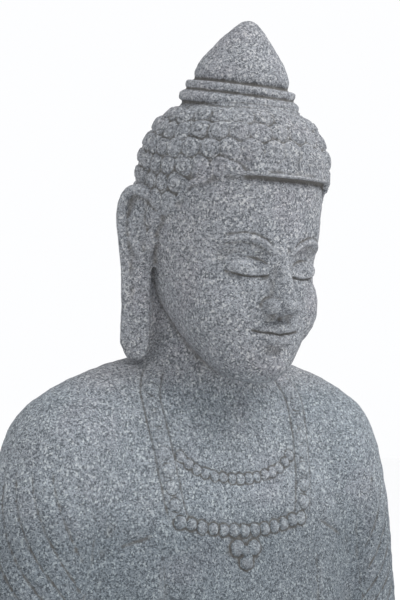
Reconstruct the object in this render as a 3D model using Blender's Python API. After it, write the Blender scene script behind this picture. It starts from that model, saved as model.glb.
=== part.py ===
"""A seated stone Buddha, carved with its low plinth from one block.

Units are metres, +Z is up and the figure faces -Y, so its right hand is at -X.
The origin lies on the ground under the middle of the plinth.
"""

import math

import bmesh
import bpy
import numpy as np
from mathutils import Matrix, Vector
from mathutils.bvhtree import BVHTree

# Driving sizes
FIGURE_HEIGHT = 0.926
PLINTH_HEIGHT = 0.074
PLINTH_LIP = 0.028

# The figure is laid out in parts of its own height, about a millimetre each,
# from the middle of its shoulders across and deep, and from the top of the plinth up.
PART = FIGURE_HEIGHT / 926
SEAT_WIDTH = 744 * PART
SEAT_DEPTH = 504 * PART
SEAT_BACK = 45 * PART

# How finely the block is worked, in parts, and how many triangles are kept
BODY_GRAIN = 5
HEAD_GRAIN = 2.2
GRAIN = 2.6
TRIANGLES = 9700
HEAD_EASE = 0.5
EASE_STRENGTH = 0.15

HEAD_PIVOT = (0, -27, 590)
HEAD_BOW = math.radians(8.5)
CROWN_LEAN = math.radians(4.5)
CURL = 19
ROW = 0.88 * CURL
HAIR_LIFT = 6.5


def parts(*points):
    """Points of the figure, in parts, as metres."""
    placed = np.array(points, float).reshape(-1, 3) * PART
    return placed + (0, SEAT_BACK, PLINTH_HEIGHT)


def in_parts(points):
    """Points in metres as parts of the figure."""
    return (np.array(points, float) - (0, SEAT_BACK, PLINTH_HEIGHT)) / PART


HEAD_TURN = np.array(Matrix.Rotation(HEAD_BOW, 3, "X"))


def head_place(*points):
    """Points of the upright head, in parts from the pivot under the chin, as metres in the bowed head."""
    local = np.array(points, float).reshape(-1, 3)
    return parts(*(local @ HEAD_TURN.T + HEAD_PIVOT))


def head_local(points):
    """Points in metres as the upright head's own parts."""
    return (in_parts(points) - HEAD_PIVOT) @ HEAD_TURN


def smooth_path(points, count):
    """A Catmull-Rom curve through rows of numbers, such as places with a radius."""
    rows = np.array(points, float)
    rows = np.vstack([2 * rows[0] - rows[1], rows, 2 * rows[-1] - rows[-2]])
    t = np.linspace(0, len(rows) - 3 - 1e-9, count)
    i = t.astype(int)
    u = (t - i)[:, None]
    a, b, c, d = (rows[i + k] for k in range(4))
    return 0.5 * (2 * b + (c - a) * u + (2 * a - 5 * b + 4 * c - d) * u**2 + (3 * b - a - 3 * c + d) * u**3)


def step(low, high, value):
    """0 below low, 1 above high, and a smooth rise between."""
    t = np.clip((value - low) / (high - low), 0, 1)
    return t * t * (3 - 2 * t)


def bell(value, width):
    """A smooth hump, 1 at value 0 and nearly 0 two widths away."""
    return np.exp(-((value / width) ** 2))


def mirrored(line):
    return [(-p[0], *p[1:]) for p in line]


def both_halves(line):
    """A line that ends at the middle, with its mirror image after it."""
    return list(line) + [(-p[0], *p[1:]) for p in line[-2::-1]]


# Each body is a pair: its points in metres, and its faces as rows of point numbers.


def skin(rings):
    """A closed body over a row of rings with equal numbers of points."""
    count, sides = len(rings), len(rings[0])
    faces = []
    for k in range(count - 1):
        for i in range(sides):
            j = (i + 1) % sides
            faces.append((k * sides + i, k * sides + j, (k + 1) * sides + j, (k + 1) * sides + i))
    faces.append(tuple(range(sides))[::-1])
    faces.append(tuple(range((count - 1) * sides, count * sides)))
    return np.vstack(rings), faces


def stack(sections, rings=30, sides=48, power=2.3, place=parts):
    """A body of level sections: height, half width, and the places of its front and its back."""
    angles = np.linspace(0, 2 * math.pi, sides, endpoint=False)
    c, s = np.cos(angles), np.sin(angles)
    x = np.sign(c) * np.abs(c) ** (2 / power)
    y = np.sign(s) * np.abs(s) ** (2 / power)
    made = []
    for z, half, front, back in smooth_path(sections, rings):
        depth = max((back - front) / 2, 0.5)
        ring = np.stack([x * max(half, 0.5), (back + front) / 2 + y * depth, np.full(sides, z)], 1)
        made.append(place(*ring))
    return skin(made)


def limb(line, rings=24, sides=24, flat=1.0, up=(0, 0, 1), place=parts):
    """A round-ended body along a line of x, y, z and radius. flat is its height over its width."""
    rows = smooth_path(line, rings)
    centres, radii = rows[:, :3], rows[:, 3]
    along = np.gradient(centres, axis=0)
    along /= np.linalg.norm(along, axis=1)[:, None]
    ends = np.sin(np.linspace(0.15, math.pi / 2, 6))
    reach = np.sqrt(1 - ends**2)
    first, last = centres[0], centres[-1]
    start = [(first - along[0] * radii[0] * r, radii[0] * e, along[0]) for e, r in zip(ends, reach)][:-1]
    finish = [(last + along[-1] * radii[-1] * r, radii[-1] * e, along[-1]) for e, r in zip(ends, reach)]
    stations = start + list(zip(centres, radii, along)) + finish[-2::-1]
    angles = np.linspace(0, 2 * math.pi, sides, endpoint=False)[:, None]
    made = []
    for centre, radius, heading in stations:
        side = np.cross(heading, up)
        side /= np.linalg.norm(side)
        rise = np.cross(side, heading)
        ring = centre + radius * (np.cos(angles) * side + flat * np.sin(angles) * rise)
        made.append(place(*ring))
    return skin(made)


def ball(centre, radii, axes=None, place=parts, sides=24, square=2):
    """An ellipsoid. The columns of axes are its own directions, and square above 2 fills its corners."""
    rings = []
    for polar in np.linspace(0.12, math.pi - 0.12, sides // 2):
        angles = np.linspace(0, 2 * math.pi, sides, endpoint=False)
        level, spread = math.cos(polar), math.sin(polar)
        unit = np.stack([np.cos(angles) * spread, np.sin(angles) * spread, np.full(sides, level)], 1)
        size = (np.abs(unit) ** square).sum(1) ** (1 / square)
        local = unit / size[:, None] * radii
        if axes is not None:
            local = local @ np.array(axes).T
        rings.append(place(*(local + centre)))
    return skin(rings)


def turned(profile, sides=64, place=parts):
    """A body turned about the upright axis, from rows of height and radius."""
    angles = np.linspace(0, 2 * math.pi, sides, endpoint=False)
    c, s = np.cos(angles), np.sin(angles)
    return skin([place(*np.stack([r * c, r * s, np.full(sides, z)], 1)) for z, r in profile])


def object_from(bodies, name):
    """One mesh object of all the bodies."""
    points, faces, start = [], [], 0
    for place, corners in bodies:
        points.append(place)
        faces += [tuple(start + i for i in face) for face in corners]
        start += len(place)
    data = bpy.data.meshes.new(name)
    data.from_pydata(np.vstack(points).tolist(), [], faces)
    made = bpy.data.objects.new(name, data)
    bpy.context.scene.collection.objects.link(made)
    return made


def body_of(made):
    """The reverse: an object's mesh as a body, and the object removed."""
    points = points_of(made)
    corners = np.empty(len(made.data.loops), int)
    made.data.loops.foreach_get("vertex_index", corners)
    starts = np.empty(len(made.data.polygons), int)
    made.data.polygons.foreach_get("loop_start", starts)
    faces = [tuple(f) for f in np.split(corners, starts[1:])]
    bpy.data.objects.remove(made)
    return points, faces


def apply_modifiers(made):
    graph = bpy.context.evaluated_depsgraph_get()
    data = bpy.data.meshes.new_from_object(made.evaluated_get(graph))
    made.modifiers.clear()
    made.data = data


def one_skin(made, grain, soften=0):
    """Melts an object's overlapping bodies into one closed skin of squares one grain wide."""
    remesh = made.modifiers.new("one skin", "REMESH")
    remesh.mode = "VOXEL"
    remesh.voxel_size = grain * PART
    if soften:
        smooth = made.modifiers.new("soften", "SMOOTH")
        smooth.factor = 0.5
        smooth.iterations = soften
    apply_modifiers(made)


def points_of(made):
    out = np.empty(len(made.data.vertices) * 3)
    made.data.vertices.foreach_get("co", out)
    return out.reshape(-1, 3)


def normals_of(made):
    out = np.empty(len(made.data.vertices) * 3)
    made.data.vertex_normals.foreach_get("vector", out)
    return out.reshape(-1, 3)


def move_points(made, points):
    made.data.vertices.foreach_set("co", points.ravel())
    made.data.update()


def surface(made):
    return BVHTree.FromObject(made, bpy.context.evaluated_depsgraph_get())


# The head

# Height, half width, front and back
SKULL = [
    (-9, 14, -66, -34),
    (-5, 25, -76, -20),
    (4, 36, -84, -4),
    (18, 48, -88, 14),
    (34, 58, -90, 34),
    (55, 67, -90, 56),
    (80, 74, -90, 76),
    (108, 78, -90, 90),
    (140, 81, -90, 98),
    (165, 82, -90, 101),
    (186, 81, -88, 100),
    (209, 78.5, -83, 96),
    (228, 71, -73, 85),
    (240, 61, -61, 72),
    (248, 46, -46, 54),
    (252, 20, -22, 26),
]
NOSE = [
    (124, 5, -90, -70),
    (114, 6.5, -93, -70),
    (102, 8, -98, -70),
    (90, 9.5, -104, -70),
    (79, 11.5, -109, -70),
    (71, 13, -111.5, -70),
    (65, 12, -110, -70),
    (61, 9, -104, -70),
    (58, 5, -95, -70),
]
# Heights and radii of the rings and the finial
CROWN_TIP = 339
FINIAL = [
    (243, 50),
    (252, 55.5),
    (255, 58.5),
    (258, 59.5),
    (262.5, 59.2),
    (264.5, 56),
    (266.5, 53.2),
    (267.5, 52.6),
    (269, 54),
    (273.5, 54.2),
    (275, 53),
    (276, 48),
    (277.5, 44.5),
    (279.5, 46.5),
    (284, 47),
    (292, 44),
    (300, 39.5),
    (308, 33.5),
    (316, 27.5),
    (324, 20.5),
    (331, 14),
    (336, 9),
    (CROWN_TIP, 4),
]
UPPER_LIP = [
    (-25, -79, 43.2, 1.6),
    (-17, -86, 44.6, 3.4),
    (-8, -91, 46, 4.8),
    (-3, -92.5, 46.8, 5),
    (0, -92.3, 46, 4.8),
]
LOWER_LIP = [(-22, -80, 40.5, 1.8), (-14, -86.5, 37.6, 4), (-6, -90.5, 35.6, 5.6), (0, -91.2, 35.2, 5.9)]

# Each ear: reach from front to back, stand-off from the ear's own plane, height and radius
EAR_RIM = [
    (13, 1, 122, 2.6),
    (8, 3, 132, 3.6),
    (3, 3, 144, 4.6),
    (6, 3, 156, 5),
    (18, 3, 163.5, 5.2),
    (32, 3, 165.5, 5.2),
    (41.5, 3, 153, 5.2),
    (43, 3, 132, 5),
    (39.5, 3, 112, 4.8),
    (36, 3, 92, 4.6),
    (34, 2, 70, 5),
    (33, 1, 46, 5.5),
    (32, 0, 18, 6.5),
]
EAR_FOLD = [(24, 1, 150, 2), (31, 2, 141, 3), (31, 2, 126, 3.4), (27, 2, 112, 3.6), (20, 2, 103, 3.2)]
EAR_TRAGUS = [(10, 1, 122, 2.6), (11, 1, 114, 4), (12, 1, 105, 3)]
EAR_PLATE = [
    (22, -5, 152, 18),
    (24, -5, 128, 18),
    (24, -4, 100, 14.5),
    (23, -3, 70, 13.5),
    (23, -3, 40, 14),
    (23, -3, 14, 14),
]
EAR_LEAN = math.radians(34)
LOBE_CLOSER = {-1: 3, 1: 8}


def hairline(angle):
    """Height of the hair's edge at an angle round the head, 0 at the face and pi at the nape."""
    turn = np.abs(angle)
    temple = step(math.radians(56), math.radians(80), turn)
    nape = step(math.radians(84), math.radians(125), turn)
    corner = step(math.radians(42), math.radians(54), turn)
    return 186 - 10 * corner - 32 * temple - 118 * nape


# The brow line: distance from the middle of the face, and height
BROW = [(0, 106), (5, 109), (12, 117), (20, 123), (30, 127), (40, 128), (52, 125), (64, 119), (76, 111)]


def brow_height(x):
    """Height of the brow line at a distance from the middle of the face."""
    across, heights = np.array(BROW).T
    return np.interp(np.abs(x), across, heights)


def carve_sockets(made):
    """Sinks the eyes under the brows and shapes the surround of the mouth."""
    local = head_local(points_of(made))
    x, y, z = local.T
    side = np.abs(x)
    below = brow_height(x) - z
    under_brow = step(-2, 9, below) * (1 - step(10, 44, below))
    across = step(3, 24, side) * (1 - step(50, 74, side))
    push = 6.5 * under_brow * across
    push += 2.2 * bell(z - 110, 12) * bell(side, 9)
    push += 3.5 * bell(z - 25, 7) * bell(side, 20)
    push -= 1.5 * bell(below + 2, 3.5) * (1 - step(55, 75, side)) * step(5, 14, side)
    local[:, 1] += push * step(10, 50, -y)
    move_points(made, head_place(*local))


def raise_hair(made):
    """Lifts the hair off the skin, with a sharp edge along the hairline."""
    points = points_of(made)
    x, y, z = head_local(points).T
    lift = HAIR_LIFT * step(-1, 1, z - hairline(np.arctan2(x, 8 - y)))
    move_points(made, points + normals_of(made) * (lift * PART)[:, None])


def features():
    """The nose, lids, cheeks, chin and lips."""
    made = [stack(NOSE, sides=32, power=1.75, place=head_place)]
    made.append(ball((0, -101.5, 69.5), (9.5, 10.5, 8.8), place=head_place))
    made.append(ball((0, -76, 11), (21, 14.5, 13), place=head_place))
    for side in (-1, 1):
        made.append(ball((side * 12.8, -94, 66.5), (6.8, 10.5, 7.2), place=head_place))
        made.append(ball((side * 32.5, -65.5, 102), (20.5, 16.5, 14.5), place=head_place))
        made.append(ball((side * 35, -40, 64), (36, 42, 44), place=head_place))
    for lip in (UPPER_LIP, LOWER_LIP):
        made.append(limb(both_halves(lip), rings=40, sides=14, place=head_place))
    return made


def ear(side):
    """One ear, standing out from the head towards its back."""

    def place(*points):
        along, off, z = np.array(points, float).reshape(-1, 3).T
        closer = LOBE_CLOSER[side] * (1 - step(10, 110, z))
        x = 77 - closer + along * math.sin(EAR_LEAN) + off * math.cos(EAR_LEAN)
        y = 4 + along * math.cos(EAR_LEAN) - off * math.sin(EAR_LEAN)
        return head_place(*np.stack([side * x, y, z], 1))

    lines = ((EAR_PLATE, 0.42), (EAR_RIM, 1), (EAR_FOLD, 1), (EAR_TRAGUS, 1))
    return [limb(line, rings=30, sides=16, flat=flat, up=(0, 1, 0), place=place) for line, flat in lines]


def curl_places(made):
    """Places and outward directions of the curls, in level rows half a curl out of step."""
    tree = surface(made)
    centre = Vector(head_place((0, 6, 175))[0])
    meridians = []
    for phi in np.radians(np.arange(0, 360, 5)):
        line = []
        for polar in np.radians(np.arange(20, 168, 1.5)):
            flat = math.sin(polar)
            heading = HEAD_TURN @ (math.sin(phi) * flat, -math.cos(phi) * flat, math.cos(polar))
            hit = tree.ray_cast(centre, Vector(heading))[0]
            line.append(head_local(hit))
        line = np.array(line)
        line = line[np.argmax(np.hypot(line[:, 0], line[:, 1]) > 60) :]
        reach = np.concatenate([[0], np.cumsum(np.linalg.norm(np.diff(line, axis=0), axis=1))])
        meridians.append((reach, line))
    out = []
    for row in range(15):
        down = 6 + row * ROW
        ring = [[np.interp(down, reach, line[:, i]) for i in range(3)] for reach, line in meridians]
        ring = np.array(ring)
        ring = np.vstack([ring, ring[:1]])
        around = np.concatenate([[0], np.cumsum(np.linalg.norm(np.diff(ring, axis=0), axis=1))])
        count = max(3, round(around[-1] / CURL))
        for i in range(count):
            at = (i + 0.5 * (row % 2)) / count * around[-1]
            spot = np.array([np.interp(at, around, ring[:, k]) for k in range(3)])
            if spot[2] > hairline(math.atan2(spot[0], 8 - spot[1])) + 5:
                hit, normal, _, _ = tree.find_nearest(Vector(head_place(spot)[0]))
                out.append((in_parts(hit), np.array(normal)))
    return out


def curl(place, normal):
    """One flat curl, its lower edge standing out furthest."""
    side = np.cross(normal, (0, 0, 1))
    side /= np.linalg.norm(side)
    rise = np.cross(side, normal)
    out = normal - 0.22 * rise
    out /= np.linalg.norm(out)
    axes = np.stack([side, np.cross(out, side), out], 1)
    return ball(place - normal * 3, (CURL * 0.52, CURL * 0.49, CURL * 0.36), axes, sides=14, square=2.5)


def crown_place(*points):
    """Points of the rings and the finial, whose axis leans a little further forward than the head."""
    turn = np.array(Matrix.Rotation(CROWN_LEAN, 3, "X"))
    tip = (0, 0, CROWN_TIP)
    return head_place(*((np.array(points) - tip) @ turn.T + tip))


def head_bodies():
    head = object_from([stack(SKULL, rings=44, sides=64, power=2.15, place=head_place)], "head")
    one_skin(head, HEAD_GRAIN, soften=3)
    carve_sockets(head)
    raise_hair(head)
    curls = [curl(place, normal) for place, normal in curl_places(head)]
    return [body_of(head), turned(FINIAL, place=crown_place)] + features() + ear(-1) + ear(1) + curls


# The body in its robe

TORSO = [
    (-10, 170, -90, 160),
    (90, 168, -88, 160),
    (160, 158, -84, 146),
    (230, 150, -82, 126),
    (300, 158, -78, 114),
    (370, 168, -73, 108),
    (420, 176, -69, 105),
    (470, 178, -63, 102),
    (510, 172, -55, 98),
    (540, 156, -46, 92),
    (562, 128, -39, 84),
    (580, 92, -36, 76),
    (598, 68, -36, 68),
    (620, 58, -40, 60),
]
NECK = [(0, 24, 555, 50), (0, 12, 600, 57), (0, 4, 660, 56)]
SHOULDERS = [
    (-150, 12, 497, 58),
    (-130, 14, 507, 59),
    (-100, 19, 518, 60),
    (-60, 26, 528, 61),
    (0, 28, 533, 61),
    (60, 26, 535, 61),
    (100, 19, 527, 60),
    (130, 14, 516, 59),
    (150, 12, 504, 59),
]
UPPER_ARM = [
    (-150, 10, 499, 65),
    (-166, 12, 440, 63),
    (-180, 16, 350, 61),
    (-196, 18, 270, 62),
    (-202, 10, 232, 62),
]
FOREARM = [(-202, 10, 232, 60), (-188, -44, 204, 54), (-158, -92, 184, 48), (-124, -126, 172, 42)]
THIGH = [(-80, 70, 90, 98), (-160, 20, 86, 96), (-240, -50, 74, 84), (-302, -98, 62, 72)]
SHIN = [
    (-302, -102, 60, 70),
    (-230, -155, 56, 64),
    (-140, -195, 56, 57),
    (-50, -215, 66, 48),
    (10, -215, 78, 40),
]
FOOT = [(10, -215, 82, 33), (70, -204, 100, 31), (125, -186, 118, 34), (165, -170, 130, 32)]
# For the left hand
WRIST = [(132, -120, 172, 27), (106, -140, 168, 24), (82, -162, 163, 22)]
THUMB = [(76, -192, 168, 13), (52, -205, 175, 11.5), (28, -208, 182, 10), (8, -206, 186, 9.5)]
FINGER_TIPS = (-34, -48, -52, -44)
FINGER_SPACING = 15.5
PLEATS = 9
FAN_REACH = 96
FAN_TURN = math.radians(78)


def lower_shin(line):
    """The other leg, crossed under and in front of the first."""
    return [(x, y - 6, z - 12, r) for x, y, z, r in line]


def hand(side, lift):
    """One hand, open in the lap with its palm up. side is where its wrist comes from."""

    def place(*points):
        x, y, z = np.array(points, float).reshape(-1, 3).T
        return parts(*np.stack([side * x, y, z + lift], 1))

    made = [limb(WRIST, place=place), ball((54, -178, 160), (46, 37, 17), place=place, square=2.5)]
    for k, tip in enumerate(FINGER_TIPS):
        y = -207 + FINGER_SPACING * k
        line = [(52, y, 163, 10), (20, y - 1, 166, 9.6), (-12, y + 1, 167, 9.2), (tip, y + 5, 161, 8)]
        made.append(limb(line, sides=14, flat=0.92, place=place))
    made.append(limb(THUMB, sides=14, place=place))
    return made


def toes(foot):
    """Five toes across the end of a foot."""
    end, before = np.array(foot[-1][:3]), np.array(foot[-2][:3])
    heading = (end - before) / np.linalg.norm(end - before)
    across = np.cross(heading, (0, 0, 1))
    made = []
    for k, radius in enumerate((13.5, 11, 10.5, 10, 9)):
        start = end + across * (24 - 13.5 * k) + heading * (10 - 2.5 * k)
        stop = start + heading * (26 - 2.5 * k) - np.array((0, 0, 5))
        line = [(*start, radius), (*(start + stop) / 2, radius), (*stop, radius)]
        made.append(limb(line, rings=6, sides=14))
    return made


def fan():
    """The end of the robe, pleated on the plinth in front of the ankles."""
    rings = []
    for turn in np.linspace(-FAN_TURN, FAN_TURN, PLEATS * 12 + 1):
        ridge = abs(math.cos(PLEATS * math.pi * turn / (2 * FAN_TURN))) ** 0.7
        reach = FAN_REACH - 7 + 7 * ridge
        profile = [(0, -8), (reach, -8), (reach, 2 + 4 * ridge), (reach - 4, 6 + 5 * ridge)]
        profile += [(0.66 * reach, 17 + 6 * ridge), (0.33 * reach, 33 + 4 * ridge), (0, 48)]
        ring = [(r * math.sin(turn), -203 - r * math.cos(turn), z) for r, z in profile]
        rings.append(parts(*ring))
    return [skin(rings)]


def body_masses():
    made = [stack(TORSO, rings=40, sides=60, power=2.6), limb(NECK)]
    made.append(limb(SHOULDERS, rings=40, sides=32, flat=1.18))
    for half in (list, mirrored):
        made.append(limb(half(UPPER_ARM)))
        made.append(limb(half(FOREARM)))
        made.append(limb(half(THIGH), flat=0.9))
        made.append(ball(half([(-150, 10, 230)])[0], (52, 60, 190)))
    made.append(limb(SHIN, flat=0.9))
    made.append(limb(lower_shin(mirrored(SHIN)), flat=0.9))
    for foot in (FOOT, lower_shin(mirrored(FOOT))):
        made.append(limb(foot, flat=0.6))
    made.append(ball((0, -80, 62), (215, 140, 76)))
    made.append(ball((0, 60, 60), (215, 125, 110)))
    return made


def plinth():
    """The oval plinth, sunk below the ground so that its underside can be sawn flat."""
    half_width, half_depth = SEAT_WIDTH / 2 + PLINTH_LIP, SEAT_DEPTH / 2 + PLINTH_LIP
    top = PLINTH_HEIGHT
    angles = np.linspace(0, 2 * math.pi, 128, endpoint=False)
    c, s = np.cos(angles), np.sin(angles)
    x = np.sign(c) * np.abs(c) ** 0.75
    y = np.sign(s) * np.abs(s) ** 0.75
    rings = []
    edge = [(-0.03, 0), (0, 0), (top - 0.012, 0), (top - 0.004, 0.002), (top, 0.008), (top + 0.001, 0.03)]
    for z, inset in edge:
        rings.append(np.stack([x * (half_width - inset), y * (half_depth - inset), np.full(128, z)], 1))
    return skin(rings)


def body_bodies():
    body = object_from(body_masses(), "body")
    one_skin(body, BODY_GRAIN, soften=14)
    made = jewels(surface(body))
    made += hand(-1, 8) + hand(1, -12) + fan() + toes(FOOT) + toes(lower_shin(mirrored(FOOT)))
    return [body_of(body), plinth()] + made


# The strings of beads that edge the robe's square neck, as places across and up the chest

NECK_EDGE = [
    (-71, 441),
    (-75, 455),
    (-78, 475),
    (-80, 490),
    (-82, 512),
    (-84, 536),
    (-84, 560),
    (-76, 578),
    (-66, 592),
]
LOWER_STRING = [(-71, 442), (-48, 436), (-24, 432.5), (0, 431)]
UPPER_STRING = [(-64, 502), (-50, 490.5), (-26, 483), (0, 480.5)]
PENDANT = [(-9.5, 415, 7.6), (9.5, 415, 7.6), (0, 402, 8), (0, 411, 6)]


def on_chest(tree, x, z):
    """The place on the body's front at a height and a distance from its middle, and the way out of it."""
    start = Vector(parts((x, -300, z))[0])
    hit, normal, _, _ = tree.ray_cast(start, Vector((0, 1, 0)))
    return in_parts(hit), np.array(normal)


def string(tree, line, spacing, proud):
    """Places along a line laid on the chest, a spacing apart."""
    path = smooth_path(line, 200)
    places = np.array([on_chest(tree, x, z)[0] for x, z in path])
    normals = np.array([on_chest(tree, x, z)[1] for x, z in path])
    reach = np.concatenate([[0], np.cumsum(np.linalg.norm(np.diff(places, axis=0), axis=1))])
    stops = np.linspace(0, reach[-1], max(2, round(reach[-1] / spacing) + 1))
    spots = np.stack([np.interp(stops, reach, (places + normals * proud)[:, k]) for k in range(3)], 1)
    return spots


def jewels(tree):
    """The flat bands over the shoulders, the beads along and between them, and the pendant."""
    made = []
    for side in (list, mirrored):
        edge = string(tree, side(NECK_EDGE), 4, -4.4)
        made.append(limb([(*p, 9.5) for p in edge], rings=len(edge) * 2, sides=12, flat=0.7, up=(0, 1, 0)))
        for spot in string(tree, side(NECK_EDGE), 16.5, -2)[:-2]:
            made.append(ball(spot, (6.6, 6.6, 6.6), sides=14))
    for spot in string(tree, both_halves(LOWER_STRING), 12.2, -2.4):
        made.append(ball(spot, (6.4, 6.4, 6.4), sides=14))
    for spot in string(tree, both_halves(UPPER_STRING), 10.2, -2):
        made.append(ball(spot, (5.4, 5.4, 5.4), sides=14))
    for x, z, radius in PENDANT:
        made.append(ball(on_chest(tree, x, z)[0], (radius, 5, radius), sides=16))
    return made


def fold(phase):
    """Rounded ridges with narrow valleys, from 1 on the ridges to -1 in the valleys."""
    return 2 * np.sqrt(np.abs(np.cos(math.pi * phase)) + 0.02) - 1.2


def drape(made):
    """Carves the folds of the robe."""
    points = points_of(made)
    x, y, z = in_parts(points).T
    side = np.abs(x)
    lift = np.zeros(len(x))

    # Sleeves: folds hang down the upper arm and sweep forward to the lap
    around = 62 * np.arctan2(14 - y, side - 176)
    drop = np.clip(500 - z, 0, None)
    sweep = np.where(drop < 150, drop**2 / 275, 82 + 1.1 * (drop - 150))
    hang = around - sweep - 11.2
    sleeve = step(-60, -20, around) * (1 - step(96, 118, around))
    sleeve *= (1 - step(470, 505, z)) * step(215, 330, z)
    lift += 1.5 * sleeve * step(120, 150, side) * fold(hang / 21.8 + 0.5)

    # The robe's front edges, and the looped folds between them
    front = step(20, 40, -y) * (1 - step(385, 425, z)) * step(190, 215, z)
    lift += 2.4 * front * step(90, 93, side) * (1 - step(105, 140, side))
    loops = front * (1 - step(60, 90, side)) * (1 - step(280, 350, z))
    lift += 1.5 * loops * fold((z - side**2 / 160) / 42)

    # The crease under each side of the chest, a little lower on the right
    crease = np.where(x < 0, 424 - 0.3 * (side - 116), 435 - 0.5 * (side - 106))
    under = step(94, 106, side) * (1 - step(124, 138, side)) * step(0, 20, -y)
    lift += under * (1.4 * bell(z - crease - 8, 7) - 2.2 * bell(z - crease, 3.5))

    # The back, from the shoulders down
    back = step(30, 60, y) * (1 - step(430, 540, z)) * step(20, 60, z)
    lift += 2 * back * fold((x * (1 + (560 - z) / 900) + 0.16 * z) / 36)

    # The legs: folds run along the front of each shin and the top of each thigh
    for line, spacing, facing in ((SHIN, 19, step(-10, 30, -y)), (THIGH, 30, step(-40, 30, y) * 0.8)):
        for half in (list, mirrored):
            start, stop = np.array(half(line)[0][:3]), np.array(half(line)[-1][:3])
            length = np.linalg.norm(stop - start)
            heading = (stop - start) / length
            away = in_parts(points) - start
            reach = away @ heading
            across = np.cross(heading, (0, 0, 1))
            across /= np.linalg.norm(across)
            angle = np.arctan2(away @ np.cross(across, heading), away @ across)
            gap = np.linalg.norm(away - np.outer(reach, heading), axis=1)
            near = 1 - step(80, 100, gap)
            near *= step(0.02, 0.25, reach / length) * (1 - step(0.6, 0.84, reach / length))
            near *= step(8, 22, z) * (1 - step(100, 125, z)) * step(30, 60, side)
            lift += 1.9 * near * facing * fold(62 * angle / spacing)
    move_points(made, points + normals_of(made) * (lift * PART)[:, None])


def face_lines(made):
    """Sets the eye back under each lowered lid, and parts the lips."""
    local = head_local(points_of(made))
    x, y, z = local.T
    side = np.abs(x)
    edge = 97 - 3.5 * np.clip(1 - ((side - 33) / 19) ** 2, 0, 1)
    eye = (1 - step(15, 20, np.abs(side - 33))) * step(40, 60, -y)
    push = 2.4 * eye * step(-0.8, 0.8, edge - z) * (1 - step(5, 12, edge - z))
    parting = 41.5 - 1.6 * bell(side, 5) + 1.2 * step(14, 28, side)
    push += 2.2 * bell(z - parting, 1.5) * (1 - step(20, 29, side)) * step(60, 70, -y)
    local[:, 1] += push
    move_points(made, head_place(*local))


def flat_underside(made):
    """Saws the block off level with the ground."""
    mesh = bmesh.new()
    mesh.from_mesh(made.data)
    for vert in mesh.verts:
        if abs(vert.co.z) < 0.002:
            vert.co.z = 0
    everything = mesh.verts[:] + mesh.edges[:] + mesh.faces[:]
    ground, upwards = (0, 0, 0), (0, 0, 1)
    level = {"plane_co": ground, "plane_no": upwards}
    bmesh.ops.bisect_plane(mesh, geom=everything, dist=1e-6, clear_inner=True, **level)
    rim = [e for e in mesh.edges if e.is_boundary]
    bmesh.ops.contextual_create(mesh, geom=rim)
    bmesh.ops.triangulate(mesh, faces=[f for f in mesh.faces if len(f.verts) > 3])
    mesh.to_mesh(made.data)
    mesh.free()


def keep_triangles(made, count):
    """Cuts the mesh down to a number of triangles, keeping the head finest."""
    z = in_parts(points_of(made))[:, 2]
    ease = np.round(1 - HEAD_EASE * step(575, 600, z), 1)
    group = made.vertex_groups.new(name="ease")
    for level in np.unique(ease):
        group.add(np.nonzero(ease == level)[0].tolist(), float(level), "REPLACE")
    total = sum(len(p.vertices) - 2 for p in made.data.polygons)
    fewer = made.modifiers.new("fewer", "DECIMATE")
    fewer.ratio = count / total
    fewer.vertex_group = group.name
    fewer.vertex_group_factor = EASE_STRENGTH
    fewer.use_collapse_triangulate = True
    apply_modifiers(made)


def stone():
    made = bpy.data.materials.new("stone")
    made.use_nodes = True
    shader = made.node_tree.nodes["Principled BSDF"]
    shader.inputs["Base Color"].default_value = (0.22, 0.235, 0.255, 1)
    shader.inputs["Roughness"].default_value = 0.85
    shader.inputs["Metallic"].default_value = 0
    return made


def main():
    for old in list(bpy.data.objects):
        bpy.data.objects.remove(old)
    statue = object_from(head_bodies() + body_bodies(), "seated_buddha")
    one_skin(statue, GRAIN, soften=2)
    drape(statue)
    face_lines(statue)
    keep_triangles(statue, TRIANGLES)
    flat_underside(statue)
    statue.data.materials.append(stone())
    statue.data.shade_smooth()
    statue.data.set_sharp_from_angle(angle=math.radians(40))


main()
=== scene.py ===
import math

import bmesh
import bpy
import numpy as np
from mathutils import Matrix, Vector, noise
from mathutils.bvhtree import BVHTree


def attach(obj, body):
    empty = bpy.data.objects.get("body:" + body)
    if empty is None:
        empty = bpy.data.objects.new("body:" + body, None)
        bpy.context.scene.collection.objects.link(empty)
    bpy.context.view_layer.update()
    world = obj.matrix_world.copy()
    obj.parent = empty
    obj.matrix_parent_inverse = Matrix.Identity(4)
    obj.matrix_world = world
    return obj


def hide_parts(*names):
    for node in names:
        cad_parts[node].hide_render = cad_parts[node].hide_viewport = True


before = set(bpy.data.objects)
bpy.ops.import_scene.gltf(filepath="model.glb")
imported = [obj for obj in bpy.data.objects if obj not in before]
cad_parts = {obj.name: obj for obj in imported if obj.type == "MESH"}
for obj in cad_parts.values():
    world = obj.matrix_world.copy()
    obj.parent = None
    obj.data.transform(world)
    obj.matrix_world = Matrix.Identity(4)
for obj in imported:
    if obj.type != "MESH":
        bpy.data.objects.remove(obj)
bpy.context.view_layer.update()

# The block
# The whole statue is cut from one block of grey granite, figure and plinth together.
# It is marked out in parts of the figure's own height, about a millimetre each,
# from the middle of the shoulders and from the top of the plinth.

FIGURE_HEIGHT = 0.926
PLINTH_HEIGHT = 0.074
PART = FIGURE_HEIGHT / 926
SEAT_WIDTH = 744 * PART
SEAT_DEPTH = 504 * PART
SEAT_BACK = 45 * PART


def parts(*points):
    """Points of the figure, in parts, as metres."""
    placed = np.array(points, float).reshape(-1, 3) * PART
    return placed + (0, SEAT_BACK, PLINTH_HEIGHT)


def in_parts(points):
    """Points in metres as parts of the figure."""
    return (np.array(points, float) - (0, SEAT_BACK, PLINTH_HEIGHT)) / PART


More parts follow.
